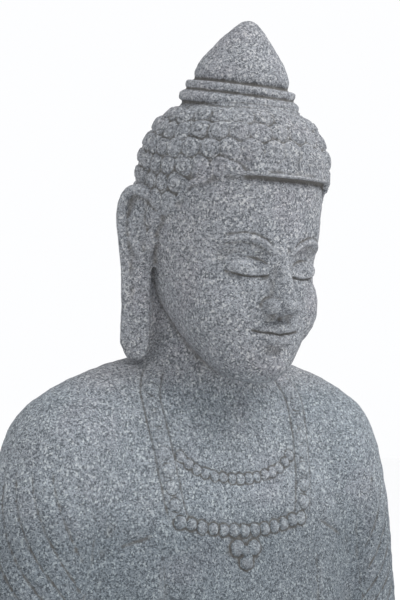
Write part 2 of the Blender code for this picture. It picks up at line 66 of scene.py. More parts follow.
def skin(rings):
    """A closed body over a row of rings with equal numbers of points: its points and its faces."""
    count, sides = len(rings), len(rings[0])
    faces = []
    for k in range(count - 1):
        for i in range(sides):
            j = (i + 1) % sides
            faces.append((k * sides + i, k * sides + j, (k + 1) * sides + j, (k + 1) * sides + i))
    faces.append(tuple(range(sides))[::-1])
    faces.append(tuple(range((count - 1) * sides, count * sides)))
    return np.vstack(rings), faces


# The plinth
# A low oval slab left under the figure from the same block, its top edge eased
# over and its underside sawn level. It is made deeper first and sawn at the end.

PLINTH_LIP = 0.028
half_width, half_depth = SEAT_WIDTH / 2 + PLINTH_LIP, SEAT_DEPTH / 2 + PLINTH_LIP
angles = np.linspace(0, 2 * math.pi, 160, endpoint=False)
oval_x = np.sign(np.cos(angles)) * np.abs(np.cos(angles)) ** 0.75
oval_y = np.sign(np.sin(angles)) * np.abs(np.sin(angles)) ** 0.75
# Height from the plinth's top and how far in from its side
EDGE = [
    (-PLINTH_HEIGHT - 0.03, 0),
    (-PLINTH_HEIGHT, 0),
    (-0.012, 0),
    (-0.004, 0.002),
    (0, 0.008),
    (0.001, 0.03),
]
rings = []
for rise, inset in EDGE:
    level = np.full(160, PLINTH_HEIGHT + rise)
    rings.append(np.stack([oval_x * (half_width - inset), oval_y * (half_depth - inset), level], 1))
plinth = skin(rings)


# The trunk
# Broad square shoulders, a flat chest and a soft waist under the robe,
# rising into a round neck.

TORSO = [
    (-10, 170, -90, 160),
    (90, 168, -88, 160),
    (160, 158, -84, 146),
    (230, 150, -82, 126),
    (300, 158, -78, 114),
    (370, 168, -73, 108),
    (420, 176, -69, 105),
    (470, 178, -63, 102),
    (510, 172, -55, 98),
    (540, 156, -46, 92),
    (562, 128, -39, 84),
    (580, 92, -36, 76),
    (598, 68, -36, 68),
    (620, 58, -40, 60),
]
NECK = [(0, 24, 555, 50), (0, 12, 600, 57), (0, 4, 660, 56)]
SHOULDERS = [
    (-150, 12, 497, 58),
    (-130, 14, 507, 59),
    (-100, 19, 518, 60),
    (-60, 26, 528, 61),
    (0, 28, 533, 61),
    (60, 26, 535, 61),
    (100, 19, 527, 60),
    (130, 14, 516, 59),
    (150, 12, 504, 59),
]


def smooth_path(points, count):
    """A Catmull-Rom curve through rows of numbers, such as places with a radius."""
    rows = np.array(points, float)
    rows = np.vstack([2 * rows[0] - rows[1], rows, 2 * rows[-1] - rows[-2]])
    t = np.linspace(0, len(rows) - 3 - 1e-9, count)
    i = t.astype(int)
    u = (t - i)[:, None]
    a, b, c, d = (rows[i + k] for k in range(4))
    return 0.5 * (2 * b + (c - a) * u + (2 * a - 5 * b + 4 * c - d) * u**2 + (3 * b - a - 3 * c + d) * u**3)


def stack(sections, rings=30, sides=48, power=2.3, place=parts):
    """A body of level sections: height, half width, and the places of its front and its back."""
    angles = np.linspace(0, 2 * math.pi, sides, endpoint=False)
    c, s = np.cos(angles), np.sin(angles)
    x = np.sign(c) * np.abs(c) ** (2 / power)
    y = np.sign(s) * np.abs(s) ** (2 / power)
    made = []
    for z, half, front, back in smooth_path(sections, rings):
        depth = max((back - front) / 2, 0.5)
        ring = np.stack([x * max(half, 0.5), (back + front) / 2 + y * depth, np.full(sides, z)], 1)
        made.append(place(*ring))
    return skin(made)


def limb(line, rings=24, sides=24, flat=1.0, up=(0, 0, 1), place=parts):
    """A round-ended body along a line of x, y, z and radius. flat is its height over its width."""
    rows = smooth_path(line, rings)
    centres, radii = rows[:, :3], rows[:, 3]
    along = np.gradient(centres, axis=0)
    along /= np.linalg.norm(along, axis=1)[:, None]
    ends = np.sin(np.linspace(0.15, math.pi / 2, 6))
    reach = np.sqrt(1 - ends**2)
    caps = []
    for end, away in ((0, -1), (-1, 1)):
        out = away * along[end] * radii[end]
        caps.append([(centres[end] + out * r, radii[end] * e, along[end]) for e, r in zip(ends, reach)])
    stations = caps[0][:-1] + list(zip(centres, radii, along)) + caps[1][-2::-1]
    angles = np.linspace(0, 2 * math.pi, sides, endpoint=False)[:, None]
    made = []
    for centre, radius, heading in stations:
        side = np.cross(heading, up)
        side /= np.linalg.norm(side)
        rise = np.cross(side, heading)
        ring = centre + radius * (np.cos(angles) * side + flat * np.sin(angles) * rise)
        made.append(place(*ring))
    return skin(made)


def mirrored(line):
    return [(-p[0], *p[1:]) for p in line]


def both_halves(line):
    """A line that ends at the middle, with its mirror image after it."""
    return list(line) + [(-p[0], *p[1:]) for p in line[-2::-1]]


masses = [stack(TORSO, rings=40, sides=60, power=2.6), limb(NECK)]
masses.append(limb(SHOULDERS, rings=40, sides=32, flat=1.18))


# The arms
# They hang close to the sides in wide sleeves and bend at the elbow to the lap.
# The stone between arm and trunk is left in, and only cut back to a groove.

UPPER_ARM = [
    (-150, 10, 499, 65),
    (-166, 12, 440, 63),
    (-180, 16, 350, 61),
    (-196, 18, 270, 62),
    (-202, 10, 232, 62),
]
FOREARM = [(-202, 10, 232, 60), (-188, -44, 204, 54), (-158, -92, 184, 48), (-124, -126, 172, 42)]


def ball(centre, radii, axes=None, place=parts, sides=24, square=2):
    """An ellipsoid. The columns of axes are its own directions, and square above 2 fills its corners."""
    rings = []
    for polar in np.linspace(0.12, math.pi - 0.12, sides // 2):
        angles = np.linspace(0, 2 * math.pi, sides, endpoint=False)
        level, spread = math.cos(polar), math.sin(polar)
        unit = np.stack([np.cos(angles) * spread, np.sin(angles) * spread, np.full(sides, level)], 1)
        size = (np.abs(unit) ** square).sum(1) ** (1 / square)
        local = unit / size[:, None] * radii
        if axes is not None:
            local = local @ np.array(axes).T
        rings.append(place(*(local + centre)))
    return skin(rings)


for half in (list, mirrored):
    masses.append(limb(half(UPPER_ARM)))
    masses.append(limb(half(FOREARM)))
    masses.append(ball(half([(-150, 10, 230)])[0], (52, 60, 190)))


# The legs
# Crossed flat under the robe, the right over the left, each foot sole up on the
# other thigh, with the stone left solid between them and behind.

THIGH = [(-80, 70, 90, 98), (-160, 20, 86, 96), (-240, -50, 74, 84), (-302, -98, 62, 72)]
SHIN = [
    (-302, -102, 60, 70),
    (-230, -155, 56, 64),
    (-140, -195, 56, 57),
    (-50, -215, 66, 48),
    (10, -215, 78, 40),
]
FOOT = [(10, -215, 82, 33), (70, -204, 100, 31), (125, -186, 118, 34), (165, -170, 130, 32)]


def lower_shin(line):
    """The other leg, crossed under and in front of the first."""
    return [(x, y - 6, z - 12, r) for x, y, z, r in line]


for half in (list, mirrored):
    masses.append(limb(half(THIGH), flat=0.9))
masses.append(limb(SHIN, flat=0.9))
masses.append(limb(lower_shin(mirrored(SHIN)), flat=0.9))
for foot in (FOOT, lower_shin(mirrored(FOOT))):
    masses.append(limb(foot, flat=0.6))
masses.append(ball((0, -80, 62), (215, 140, 76)))
masses.append(ball((0, 60, 60), (215, 125, 110)))


# The rough body
# Trunk, arms and legs are melted together and rubbed down, as the block looks
# before any small carving.

BODY_GRAIN = 5


def object_from(bodies, name):
    """One mesh object of all the bodies."""
    points, faces, start = [], [], 0
    for place, corners in bodies:
        points.append(place)
        faces += [tuple(start + i for i in face) for face in corners]
        start += len(place)
    data = bpy.data.meshes.new(name)
    data.from_pydata(np.vstack(points).tolist(), [], faces)
    made = bpy.data.objects.new(name, data)
    bpy.context.scene.collection.objects.link(made)
    return made


def points_of(made):
    out = np.empty(len(made.data.vertices) * 3)
    made.data.vertices.foreach_get("co", out)
    return out.reshape(-1, 3)


def normals_of(made):
    out = np.empty(len(made.data.vertices) * 3)
    made.data.vertex_normals.foreach_get("vector", out)
    return out.reshape(-1, 3)


def move_points(made, points):
    made.data.vertices.foreach_set("co", points.ravel())
    made.data.update()


def body_of(made):
    """The reverse: an object's mesh as a body, and the object removed."""
    points = points_of(made)
    corners = np.empty(len(made.data.loops), int)
    made.data.loops.foreach_get("vertex_index", corners)
    starts = np.empty(len(made.data.polygons), int)
    made.data.polygons.foreach_get("loop_start", starts)
    faces = [tuple(f) for f in np.split(corners, starts[1:])]
    bpy.data.objects.remove(made)
    return points, faces


def apply_modifiers(made):
    graph = bpy.context.evaluated_depsgraph_get()
    data = bpy.data.meshes.new_from_object(made.evaluated_get(graph))
    made.modifiers.clear()
    made.data = data


def one_skin(made, grain, soften=0):
    """Melts an object's overlapping bodies into one closed skin of squares one grain wide."""
    remesh = made.modifiers.new("one skin", "REMESH")
    remesh.mode = "VOXEL"
    remesh.voxel_size = grain * PART
    if soften:
        smooth = made.modifiers.new("soften", "SMOOTH")
        smooth.factor = 0.5
        smooth.iterations = soften
    apply_modifiers(made)


def surface(made):
    return BVHTree.FromObject(made, bpy.context.evaluated_depsgraph_get())


body = object_from(masses, "body")
one_skin(body, BODY_GRAIN, soften=14)
chest = surface(body)


# The hands and feet
# The hands lie open in the lap, the right on the left, with the thumb tips
# together. The toes close the end of each upturned foot.

WRIST = [(132, -120, 172, 27), (106, -140, 168, 24), (82, -162, 163, 22)]
THUMB = [(76, -192, 168, 13), (52, -205, 175, 11.5), (28, -208, 182, 10), (8, -206, 186, 9.5)]
FINGER_TIPS = (-34, -48, -52, -44)
FINGER_SPACING = 15.5


def hand(side, lift):
    """One hand, open in the lap with its palm up. side is where its wrist comes from."""

    def place(*points):
        x, y, z = np.array(points, float).reshape(-1, 3).T
        return parts(*np.stack([side * x, y, z + lift], 1))

    made = [limb(WRIST, place=place), ball((54, -178, 160), (46, 37, 17), place=place, square=2.5)]
    for k, tip in enumerate(FINGER_TIPS):
        y = -207 + FINGER_SPACING * k
        line = [(52, y, 163, 10), (20, y - 1, 166, 9.6), (-12, y + 1, 167, 9.2), (tip, y + 5, 161, 8)]
        made.append(limb(line, sides=16, flat=0.92, place=place))
    made.append(limb(THUMB, sides=16, place=place))
    return made


def toes(foot):
    """Five toes across the end of a foot."""
    end, before = np.array(foot[-1][:3]), np.array(foot[-2][:3])
    heading = (end - before) / np.linalg.norm(end - before)
    across = np.cross(heading, (0, 0, 1))
    made = []
    for k, radius in enumerate((13.5, 11, 10.5, 10, 9)):
        start = end + across * (24 - 13.5 * k) + heading * (10 - 2.5 * k)
        stop = start + heading * (26 - 2.5 * k) - np.array((0, 0, 5))
        line = [(*start, radius), (*(start + stop) / 2, radius), (*stop, radius)]
        made.append(limb(line, rings=6, sides=14))
    return made


hands_and_feet = hand(-1, 8) + hand(1, -12) + toes(FOOT) + toes(lower_shin(mirrored(FOOT)))


# The end of the robe
# A fan of pleats spread on the plinth in front of the ankles, thick in the
# middle and thin at its scalloped edge.

PLEATS = 9
FAN_REACH = 96
FAN_TURN = math.radians(78)

rings = []
for turn in np.linspace(-FAN_TURN, FAN_TURN, PLEATS * 12 + 1):
    ridge = abs(math.cos(PLEATS * math.pi * turn / (2 * FAN_TURN))) ** 0.7
    reach = FAN_REACH - 7 + 7 * ridge
    profile = [(0, -8), (reach, -8), (reach, 2 + 4 * ridge), (reach - 4, 6 + 5 * ridge)]
    profile += [(0.66 * reach, 17 + 6 * ridge), (0.33 * reach, 33 + 4 * ridge), (0, 48)]
    ring = [(r * math.sin(turn), -203 - r * math.cos(turn), z) for r, z in profile]
    rings.append(parts(*ring))
fan = [skin(rings)]


# The head
# An egg of stone bowed a little forward on the neck, with the eyes sunk under
# the brows.

HEAD_GRAIN = 1.8
HEAD_PIVOT = (0, -27, 590)
HEAD_BOW = math.radians(8.5)
HEAD_TURN = np.array(Matrix.Rotation(HEAD_BOW, 3, "X"))
SKULL = [
    (-9, 14, -66, -34),
    (-5, 25, -76, -20),
    (4, 36, -84, -4),
    (18, 48, -88, 14),
    (34, 58, -90, 34),
    (55, 67, -90, 56),
    (80, 74, -90, 76),
    (108, 78, -90, 90),
    (140, 81, -90, 98),
    (165, 82, -90, 101),
    (186, 81, -88, 100),
    (209, 78.5, -83, 96),
    (228, 71, -73, 85),
    (240, 61, -61, 72),
    (248, 46, -46, 54),
    (252, 20, -22, 26),
]


def head_place(*points):
    """Points of the upright head, in parts from the pivot under the chin, as metres in the bowed head."""
    local = np.array(points, float).reshape(-1, 3)
    return parts(*(local @ HEAD_TURN.T + HEAD_PIVOT))


def head_local(points):
    """Points in metres as the upright head's own parts."""
    return (in_parts(points) - HEAD_PIVOT) @ HEAD_TURN


def step(low, high, value):
    """0 below low, 1 above high, and a smooth rise between."""
    t = np.clip((value - low) / (high - low), 0, 1)
    return t * t * (3 - 2 * t)


def bell(value, width):
    """A smooth hump, 1 at value 0 and nearly 0 two widths away."""
    return np.exp(-((value / width) ** 2))


# The brow line: distance from the middle of the face, and height
BROW = [(0, 106), (5, 109), (12, 117), (20, 123), (30, 127), (40, 128), (52, 125), (64, 119), (76, 111)]


def brow_height(x):
    return np.interp(np.abs(x), *np.array(BROW).T)


head = object_from([stack(SKULL, rings=44, sides=64, power=2.15, place=head_place)], "head")
one_skin(head, HEAD_GRAIN, soften=4)

local = head_local(points_of(head))
x, y, z = local.T
across = np.abs(x)
below = brow_height(x) - z
push = 6.5 * step(-2, 9, below) * (1 - step(10, 44, below))
push *= step(3, 24, across) * (1 - step(50, 74, across))
push += 2.2 * bell(z - 110, 12) * bell(across, 9)
push += 3.5 * bell(z - 25, 7) * bell(across, 20)
local[:, 1] += push * step(10, 50, -y)
move_points(head, head_place(*local))


# The hair
# It stands off the skin with an overhanging edge, cleanest over the left brow,
# and is cut in level rows of small flat curls, each row half a curl out of step.

CURL = 19
ROW = 0.88 * CURL
TOP_ROW = 6
HAIR_LIFT = 6.5
# How far to the right of the middle the clean edge gives way to the scalloped one
SCALLOPED = (32, 48)
# Height of the edge over the brow, and its drops at the corner, the temple and the nape
HAIRLINE = 186
CORNER_DROP = 10
TEMPLE_DROP = 32
NAPE_DROP = 118
# How far the middles of the lowest curls stay above the edge
CLEAN_MARGIN = 8
SCALLOPED_MARGIN = 3


def hairline(angle):
    """Height of the hair's edge at an angle round the head, 0 at the face and pi at the nape."""
    turn = np.abs(angle)
    temple = step(math.radians(56), math.radians(80), turn)
    nape = step(math.radians(84), math.radians(125), turn)
    corner = step(math.radians(42), math.radians(54), turn)
    return HAIRLINE - CORNER_DROP * corner - TEMPLE_DROP * temple - NAPE_DROP * nape


def curl_places(made):
    """Places and outward directions of the curls."""
    wander = np.random.default_rng(5)
    tree = surface(made)
    centre = Vector(head_place((0, 6, 175))[0])
    meridians = []
    for phi in np.radians(np.arange(0, 360, 5)):
        line = []
        for polar in np.radians(np.arange(20, 168, 1.5)):
            flat = math.sin(polar)
            heading = HEAD_TURN @ (math.sin(phi) * flat, -math.cos(phi) * flat, math.cos(polar))
            line.append(head_local(tree.ray_cast(centre, Vector(heading))[0]))
        line = np.array(line)
        line = line[np.argmax(np.hypot(line[:, 0], line[:, 1]) > 60) :]
        reach = np.concatenate([[0], np.cumsum(np.linalg.norm(np.diff(line, axis=0), axis=1))])
        meridians.append((reach, line))
    out = []
    for row in range(15):
        down = TOP_ROW + row * ROW
        ring = [[np.interp(down, reach, line[:, i]) for i in range(3)] for reach, line in meridians]
        ring = np.array(ring + ring[:1])
        around = np.concatenate([[0], np.cumsum(np.linalg.norm(np.diff(ring, axis=0), axis=1))])
        count = max(3, round(around[-1] / CURL))
        for i in range(count):
            at = (i + 0.5 * (row % 2)) / count * around[-1]
            spot = np.array([np.interp(at, around, ring[:, k]) for k in range(3)]) + wander.normal(0, 0.9, 3)
            margin = CLEAN_MARGIN if spot[0] > -SCALLOPED[1] else SCALLOPED_MARGIN
            if spot[2] > hairline(math.atan2(spot[0], 8 - spot[1])) + margin:
                hit, normal, _, _ = tree.find_nearest(Vector(head_place(spot)[0]))
                out.append((in_parts(hit), np.array(normal)))
    return out


def nearest_of(places, points):
    """For each point, the number of the nearest place and how far away it is."""
    places = np.array(places)
    number, gap = np.empty(len(points), int), np.empty(len(points))
    for start in range(0, len(points), 20000):
        some = slice(start, start + 20000)
        squares = (points[some] ** 2).sum(1)[:, None] - 2 * points[some] @ places.T + (places**2).sum(1)
        number[some] = squares.argmin(1)
        gap[some] = np.sqrt(np.clip(squares.min(1), 0, None))
    return number, gap


curls = curl_places(head)

# The hair mass: over the right brow its edge follows the lowest curls
points = points_of(head)
x, y, z = head_local(points).T
_, gap = nearest_of([place for place, _ in curls], in_parts(points))
scalloped = step(*SCALLOPED, -x) * step(-30, 10, -y)
edge = z - hairline(np.arctan2(x, 8 - y))
mass = step(-0.8, 0.8, edge)
mass = np.maximum(mass, scalloped * (1 - step(0.41 * CURL, 0.5 * CURL, gap)))
low = 1 - step(10, 34, edge)
lift = (HAIR_LIFT + (1.2 - 2.7 * scalloped) * low) * mass
lift -= 2.4 * bell(edge + 2.5, 2.4) * (1 - mass) * step(30, 50, -y) * (1 - 0.6 * scalloped)
move_points(head, points + normals_of(head) * (lift * PART)[:, None])
hair_surface = surface(head)


# The face
# Calm and plain, with lowered lids, a straight nose and full lips, all left
# proud of the egg of the head and rounded into it.

NOSE = [
    (124, 5, -90, -70),
    (114, 6.5, -93, -70),
    (102, 8, -98, -70),
    (90, 9.5, -104, -70),
    (79, 11.5, -109, -70),
    (71, 13, -111.5, -70),
    (65, 12, -110, -70),
    (61, 9, -104, -70),
    (58, 5, -95, -70),
]
UPPER_LIP = [
    (-25, -79, 43.2, 1.6),
    (-17, -86, 44.6, 3.4),
    (-8, -91, 46, 4.8),
    (-3, -92.5, 46.8, 5),
    (0, -92.3, 46, 4.8),
]
LOWER_LIP = [(-22, -80, 40.5, 1.8), (-14, -86.5, 37.6, 4), (-6, -90.5, 35.6, 5.6), (0, -91.2, 35.2, 5.9)]
EYE = (32.5, -65.5, 102)

face = [stack(NOSE, sides=32, power=1.75, place=head_place)]
face.append(ball((0, -101.5, 69.5), (9.5, 10.5, 8.8), place=head_place))
face.append(ball((0, -76, 11), (21, 14.5, 13), place=head_place))
for side in (-1, 1):
    face.append(ball((side * 12.8, -94, 66.5), (6.8, 10.5, 7.2), place=head_place))
    face.append(ball((side * EYE[0], EYE[1], EYE[2]), (20.5, 16.5, 14.5), place=head_place))
    face.append(ball((side * 35, -40, 64), (36, 42, 44), place=head_place))
for lip in (UPPER_LIP, LOWER_LIP):
    face.append(limb(both_halves(lip), rings=40, sides=14, place=head_place))


# The ears
# Long lobes that reach almost to the shoulders, with a thin rolled rim, cut as
# a flat plate standing out towards the back of the head.

# Reach from front to back, stand-off from the ear's own plane, height and radius
EAR_RIM = [
    (13, 1, 122, 2.6),
    (8, 3, 132, 3.6),
    (3, 3, 144, 4.6),
    (6, 3, 156, 5),
    (18, 3, 163.5, 5.2),
    (34, 3, 166, 5.2),
    (43, 3, 154, 5.2),
    (43, 3, 132, 5),
    (39.5, 3, 112, 4.8),
    (36, 3, 92, 4.6),
    (34, 2, 70, 5),
    (33, 1, 46, 5.5),
    (32, 0, 18, 6.5),
]
EAR_FOLD = [(24, 1, 150, 2), (31, 2, 141, 3), (31, 2, 126, 3.4), (27, 2, 112, 3.6), (20, 2, 103, 3.2)]
EAR_TRAGUS = [(10, 1, 122, 2.6), (11, 1, 114, 4), (12, 1, 105, 3)]
EAR_PLATE = [
    (22, -5, 152, 18),
    (24, -5, 128, 18),
    (24, -4, 100, 14.5),
    (23, -3, 70, 13.5),
    (23, -3, 40, 14),
    (23, -3, 14, 14),
]
EAR_LEAN = math.radians(34)
LOBE_CLOSER = {-1: 3, 1: 8}


def ear(side):
    def place(*points):
        along, off, z = np.array(points, float).reshape(-1, 3).T
        x = 77 + along * math.sin(EAR_LEAN) + off * math.cos(EAR_LEAN)
        x -= LOBE_CLOSER[side] * (1 - step(10, 110, z))
        y = 4 + along * math.cos(EAR_LEAN) - off * math.sin(EAR_LEAN)
        return head_place(*np.stack([side * x, y, z], 1))

    lines = ((EAR_PLATE, 0.42), (EAR_RIM, 1), (EAR_FOLD, 1), (EAR_TRAGUS, 1))
    return [limb(line, rings=30, sides=16, flat=flat, up=(0, 1, 0), place=place) for line, flat in lines]


ears = ear(-1) + ear(1)


# The rings and the finial
# Two thin rings round the crown and a pointed finial over them, turned about
# one axis that leans a little further forward than the head.

CROWN_TIP = 339
CROWN_LEAN = math.radians(4.5)
# Heights and radii
FINIAL = [
    (243, 50),
    (252, 55.5),
    (255, 58.5),
    (258, 59.5),
    (262.5, 59.2),
    (264.5, 56),
    (266.5, 53.2),
    (267.5, 52.6),
    (269, 54),
    (273.5, 54.2),
    (275, 53),
    (276, 48),
    (277.5, 44.5),
    (279.5, 46.5),
    (284, 47),
    (292, 44),
    (300, 39.5),
    (308, 33.5),
    (316, 27.5),
    (324, 20.5),
    (331, 14),
    (336, 9),
    (CROWN_TIP, 4),
]
crown_turn = np.array(Matrix.Rotation(CROWN_LEAN, 3, "X"))
turns = np.linspace(0, 2 * math.pi, 96, endpoint=False)
rings = []
for height, radius in FINIAL:
    ring = np.stack([radius * np.cos(turns), radius * np.sin(turns), np.full(96, height - CROWN_TIP)], 1)
    rings.append(head_place(*(ring @ crown_turn.T + (0, 0, CROWN_TIP))))
finial = skin(rings)


# The whole figure
# Everything above is one stone, so it is melted into one closed skin, and the
# head, the neck and the chest are dressed to a finer grain for the small carving.

GRAIN = 2

bodies = [body_of(body), plinth, body_of(head), finial] + hands_and_feet + fan + face + ears
statue = object_from(bodies, "statue")
one_skin(statue, GRAIN, soften=2)


def in_fine_carving(made):
    """Which points lie on the head, the neck or the beaded part of the chest."""
    x, y, z = in_parts(points_of(made)).T
    return (z > 572) | ((z > 388) & (np.abs(x) < 112) & (y < 5))


def averager(made):
    """A function that gives the average of every point's neighbours."""
    ends = np.empty(len(made.data.edges) * 2, int)
    made.data.edges.foreach_get("vertices", ends)
    a, b = ends.reshape(-1, 2).T
    count = np.bincount(np.concatenate([a, b]), minlength=len(made.data.vertices))

    def average(values):
        total = [np.bincount(a, v[b], len(count)) + np.bincount(b, v[a], len(count)) for v in values.T]
        return np.stack(total, 1) / count[:, None]

    return average


fine = in_fine_carving(statue)
mesh = bmesh.new()
mesh.from_mesh(statue.data)
mesh.edges.ensure_lookup_table()
chosen = [e for e in mesh.edges if fine[e.verts[0].index] and fine[e.verts[1].index]]
bmesh.ops.subdivide_edges(mesh, edges=chosen, cuts=1, use_grid_fill=True)
mesh.to_mesh(statue.data)
mesh.free()

fine = in_fine_carving(statue)
average = averager(statue)
points = points_of(statue)
for _ in range(2):
    points[fine] = (points[fine] + average(points)[fine]) / 2
move_points(statue, points)


# The folds of the robe
# Shallow pleats down the sleeves and back, loops over the belly and long folds
# along the legs, each a rounded ridge between narrow valleys.

PLEAT_SPACING = 21.8
PLEAT_DEPTH = 1.5
EDGE_STEP = 2.2
LOOP_DEPTH = 1.4
BACK_FOLD_DEPTH = 1.8
LEG_FOLD_DEPTH = 1.7
UNEVENNESS = 0.7


def fold(phase):
    """1 on the ridges and -1 in the valleys."""
    return 2 * np.sqrt(np.abs(np.cos(math.pi * phase)) + 0.02) - 1.2


points = points_of(statue)
x, y, z = in_parts(points).T
side = np.abs(x)
lift = np.zeros(len(x))

# Sleeves: folds hang down the upper arm and sweep forward to the lap
around = 62 * np.arctan2(14 - y, side - 176)
drop = np.clip(500 - z, 0, None)
sweep = np.where(drop < 150, drop**2 / 275, 82 + 1.1 * (drop - 150))
hang = around - sweep - 11.2
sleeve = step(-60, -20, around) * (1 - step(96, 118, around)) * (1 - step(470, 505, z)) * step(215, 330, z)
strong = 1 - 0.6 * step(62, 76, np.abs(hang - 34))
lift += PLEAT_DEPTH * sleeve * strong * step(120, 150, side) * (fold(hang / PLEAT_SPACING + 0.5) - 0.3)
meeting = around - 112 - 6 * np.sin(z / 30)
lift -= 1.1 * bell(meeting, 2.6) * step(320, 350, z) * (1 - step(480, 500, z)) * step(20, 40, -y + 30)

# The robe's front edges, and the looped folds between them
front = step(20, 40, -y) * (1 - step(385, 425, z)) * step(190, 215, z)
lift += EDGE_STEP * front * step(90, 93, side) * (1 - step(105, 140, side))
loops = front * (1 - step(60, 90, side)) * (1 - step(280, 350, z))
lift += LOOP_DEPTH * loops * fold((z - side**2 / 160) / 42)

# The crease under each side of the chest, a little lower on the right
crease = np.where(x < 0, 424 - 0.3 * (side - 116), 435 - 0.5 * (side - 106))
under = step(94, 106, side) * (1 - step(124, 138, side)) * step(0, 20, -y)
lift += under * (1.4 * bell(z - crease - 8, 7) - 1.8 * bell(z - crease, 3.2))

# The back, from the shoulders down
back = step(30, 60, y) * (1 - step(430, 540, z)) * step(20, 60, z)
lift += BACK_FOLD_DEPTH * back * fold((x * (1 + (560 - z) / 900) + 0.16 * z) / 36)

# The legs: folds run along the front of each shin and the top of each thigh
for line, spacing, facing in ((SHIN, 19, step(-10, 30, -y)), (THIGH, 30, step(-40, 30, y) * 0.8)):
    for half in (list, mirrored):
        start, stop = np.array(half(line)[0][:3]), np.array(half(line)[-1][:3])
        length = np.linalg.norm(stop - start)
        heading = (stop - start) / length
        away = in_parts(points) - start
        reach = away @ heading
        sideways = np.cross(heading, (0, 0, 1))
        sideways /= np.linalg.norm(sideways)
        angle = np.arctan2(away @ np.cross(sideways, heading), away @ sideways)
        gap = np.linalg.norm(away - np.outer(reach, heading), axis=1)
        near = 1 - step(80, 100, gap)
        near *= step(0.02, 0.25, reach / length) * (1 - step(0.6, 0.84, reach / length))
        near *= step(8, 22, z) * (1 - step(100, 125, z)) * step(30, 60, side)
        lift += LEG_FOLD_DEPTH * near * facing * fold(62 * angle / spacing)

# The mason's hand: no surface of the stone is quite true
unevenness = np.array([noise.noise(p * 60) + 0.5 * noise.noise(p * 170) for p in map(Vector, points)])
lift += UNEVENNESS * unevenness
move_points(statue, points + normals_of(statue) * (lift * PART)[:, None])


# The strings of beads
# A flat band over each shoulder edges the robe's square neck, with worn beads
# along it, a row of beads between, a short string inside and a pendant of three.

NECK_EDGE = [
    (-71, 441),
    (-75, 455),
    (-78, 475),
    (-80, 490),
    (-82, 512),
    (-84, 536),
    (-84, 560),
    (-76, 578),
    (-66, 592),
]
LOWER_STRING = [(-71, 442), (-48, 436), (-24, 432.5), (0, 431)]
UPPER_STRING = [(-64, 502), (-50, 490.5), (-26, 483), (0, 480.5)]
PENDANT = [(-9.5, 415, 7.6), (9.5, 415, 7.6), (0, 402, 8), (0, 411, 6)]
BAND_WIDTH = 9
BAND_PROUD = 1.7


def on_chest(x, z):
    """The place on the front of the rough body at a height and a distance from its middle."""
    hit, _, _, _ = chest.ray_cast(Vector(parts((x, -300, z))[0]), Vector((0, 1, 0)))
    return in_parts(hit)


def string(line, spacing):
    """Places along a line laid on the chest, a spacing apart."""
    places = np.array([on_chest(x, z) for x, z in smooth_path(line, 200)])
    reach = np.concatenate([[0], np.cumsum(np.linalg.norm(np.diff(places, axis=0), axis=1))])
    stops = np.linspace(0, reach[-1], max(2, round(reach[-1] / spacing) + 1))
    return np.stack([np.interp(stops, reach, places[:, k]) for k in range(3)], 1)


wear = np.random.default_rng(11)
beads = []
for x, z, radius in PENDANT:
    beads.append((on_chest(x, z), radius, 4.2))
for spot in string(both_halves(LOWER_STRING), 12.2)[1:-1]:
    beads.append((spot, wear.uniform(5.8, 6.5), wear.uniform(2.6, 3.4)))
for spot in string(both_halves(UPPER_STRING), 10.2):
    beads.append((spot, wear.uniform(4.6, 5.5), wear.uniform(1.8, 2.7)))
for half in (list, mirrored):
    along = string(half(NECK_EDGE), 16.5)
    for k, spot in enumerate(along[:-2]):
        whole = max(0.3, 1 - 0.14 * k) if half is list else max(0.3, 1 - 0.09 * k)
        beads.append((spot, 6.6, wear.uniform(2.6, 3.2) * whole))

points = points_of(statue)
flat_points = in_parts(points)
x, y, z = flat_points.T
front = np.nonzero((z > 385) & (z < 612) & (np.abs(x) < 112) & (y < 30))[0]
lift = np.zeros(len(points))
band = np.vstack([string(half(NECK_EDGE), 1.5) for half in (list, mirrored)])
_, gap = nearest_of(band, flat_points[front])
ends = step(440, 450, z[front]) * (1 - step(575, 600, z[front]))
edge = BAND_PROUD * (1 - step(BAND_WIDTH - 1.5, BAND_WIDTH, gap)) - 0.45 * bell(gap - BAND_WIDTH - 0.8, 1.2)
lift[front] += edge * ends
places = np.array([place for place, _, _ in beads])
radii = np.array([radius for _, radius, _ in beads])
heights = np.array([height for _, _, height in beads])
reach = np.linalg.norm(flat_points[front][:, None] - places, axis=2)
worn = np.array([noise.noise(p * 190) for p in map(Vector, points[front])])
reach += 1.3 * worn[:, None]
domes = heights * np.sqrt(np.clip(1 - (reach / radii) ** 2, 0, 1))
beyond = (reach - radii).min(1)
lift[front] += domes.max(1) - 0.85 * bell(beyond - 0.6, 1.1) * (beyond > -1)
move_points(statue, points + normals_of(statue) * (lift * PART)[:, None])


# The carving of the face
# The lowered lids are cut with a thin line above and below, the brows are left
# as a fine ridge, and the nostrils and the parting of the lips are sunk.

